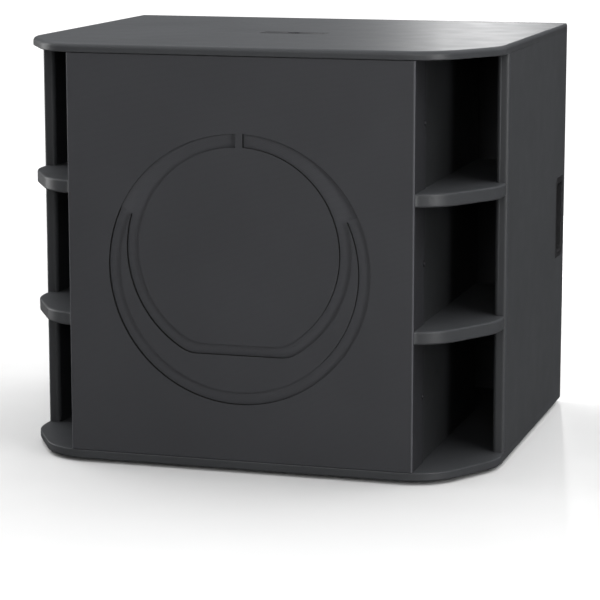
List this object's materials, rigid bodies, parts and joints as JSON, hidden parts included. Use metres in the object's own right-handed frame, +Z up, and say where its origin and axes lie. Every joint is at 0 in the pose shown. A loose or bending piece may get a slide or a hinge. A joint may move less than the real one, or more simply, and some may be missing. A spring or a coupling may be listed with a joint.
{
  "type": "powered subwoofer",
  "caption": "Ported plywood subwoofer cabinet with curved front corners, side vents, a flat steel grille, a large woofer behind it and a rear amplifier panel.",
  "frame": {"origin": "on the floor under the middle of the cabinet", "axes": "+X to the right seen from the front, the front faces -Y, +Z up"},
  "size_m": [0.67, 0.565, 0.575],
  "materials": {
    "painted_ply": "dark grey textured paint over plywood",
    "raw_ply": "bare birch plywood",
    "lining": "polyester wadding",
    "grille_steel": "dark grey powder coat, finely perforated",
    "black_foam": "open-cell foam",
    "black_screw": "black zinc",
    "black_steel": "black powder coat",
    "cup_plastic": "black moulded plastic",
    "foot_rubber": "black rubber",
    "basket_cast": "black painted die casting",
    "ring_card": "black pressed fibre",
    "magnet_steel": "zinc plated steel",
    "ferrite": "sintered ferrite",
    "cone_paper": "pressed paper pulp",
    "coil": "wound copper wire on a fibre former",
    "surround_cloth": "doped cloth",
    "spider_cloth": "impregnated cloth",
    "terminal": "moulded plastic with spring posts",
    "lead_sheath": "rubber sheath over copper",
    "heatsink_black": "black anodised extrusion",
    "board": "glass-fibre circuit board",
    "standoff": "plain brass",
    "capacitor": "sleeved can",
    "toroid": "copper windings under yellow tape",
    "socket_plastic": "black glass-filled plastic",
    "latch_metal": "plated",
    "rocker": "translucent red plastic",
    "knob_plastic": "soft black plastic",
    "button_plastic": "grey plastic",
    "light_lens": "green lens"
  },
  "bodies": {
    "cabinet": {"top_panel": "painted_ply", "bottom_panel": "painted_ply", "left_side_panel": "painted_ply", "right_side_panel": "painted_ply", "rear_panel": "painted_ply", "baffle": "painted_ply", "left_port_wall": "painted_ply", "right_port_wall": "painted_ply", "left_upper_shelf": "painted_ply", "left_lower_shelf": "painted_ply", "right_upper_shelf": "painted_ply", "right_lower_shelf": "painted_ply", "cross_brace": "raw_ply", "left_lining": "lining", "right_lining": "lining", "grille": "grille_steel", "grille_foam": "black_foam", "grille_screws": "black_screw", "pole_plate": "black_steel", "left_handle_cup": "cup_plastic", "right_handle_cup": "cup_plastic", "wood_screws": "black_screw", "feet": "foot_rubber", "woofer_basket": "basket_cast", "woofer_gasket": "foot_rubber", "surround_ring": "ring_card", "top_plate": "magnet_steel", "magnet": "ferrite", "yoke": "magnet_steel", "woofer_bolts": "black_screw", "woofer_terminals": "terminal", "speaker_lead": "lead_sheath", "amp_chamber": "cup_plastic", "amp_gasket": "foot_rubber", "amp_panel": "black_steel", "amp_screws": "black_screw", "heatsink": "heatsink_black", "amp_board": "board", "standoffs": "standoff", "capacitors": "capacitor", "transformer": "toroid", "left_input": "socket_plastic", "right_input": "socket_plastic", "left_output": "socket_plastic", "right_output": "socket_plastic", "mains_inlet": "socket_plastic", "switch_frame": "socket_plastic", "control_bodies": "socket_plastic", "status_lights": "light_lens"},
    "driver_cone": {"cone": "cone_paper", "dust_cap": "cone_paper", "voice_coil": "coil", "surround": "surround_cloth", "spider": "spider_cloth"},
    "left_latch": {"left_latch": "latch_metal"},
    "right_latch": {"right_latch": "latch_metal"},
    "power_rocker": {"power_rocker": "rocker"},
    "level_knob": {"level_knob": "knob_plastic"},
    "crossover_knob": {"crossover_knob": "knob_plastic"},
    "polarity_button": {"polarity_button": "button_plastic"}
  },
  "joints": [
    {"name": "cone_travel", "type": "slide", "parent": "cabinet", "child": "driver_cone", "axis": [0, -1, 0], "range_m": [-0.01, 0.01], "stiffness_N_per_m": 4000, "deforming": ["surround", "spider"]},
    {"name": "level_turn", "type": "hinge", "parent": "cabinet", "child": "level_knob", "pos_m": [0.105, 0.275, 0.345], "axis": [0, 1, 0], "range_deg": [-150, 150]},
    {"name": "crossover_turn", "type": "hinge", "parent": "cabinet", "child": "crossover_knob", "pos_m": [0.05, 0.275, 0.345], "axis": [0, 1, 0], "range_deg": [-150, 150]},
    {"name": "power_rock", "type": "hinge", "parent": "cabinet", "child": "power_rocker", "pos_m": [0.04, 0.2665, 0.16], "axis": [1, 0, 0], "range_deg": [0, 16]},
    {"name": "polarity_press", "type": "slide", "parent": "cabinet", "child": "polarity_button", "axis": [0, -1, 0], "range_m": [0, 0.003], "stiffness_N_per_m": 400},
    {"name": "left_latch_press", "type": "slide", "parent": "cabinet", "child": "left_latch", "axis": [0, -1, 0], "range_m": [0, 0.002], "stiffness_N_per_m": 600},
    {"name": "right_latch_press", "type": "slide", "parent": "cabinet", "child": "right_latch", "axis": [0, -1, 0], "range_m": [0, 0.002], "stiffness_N_per_m": 600}
  ]
}
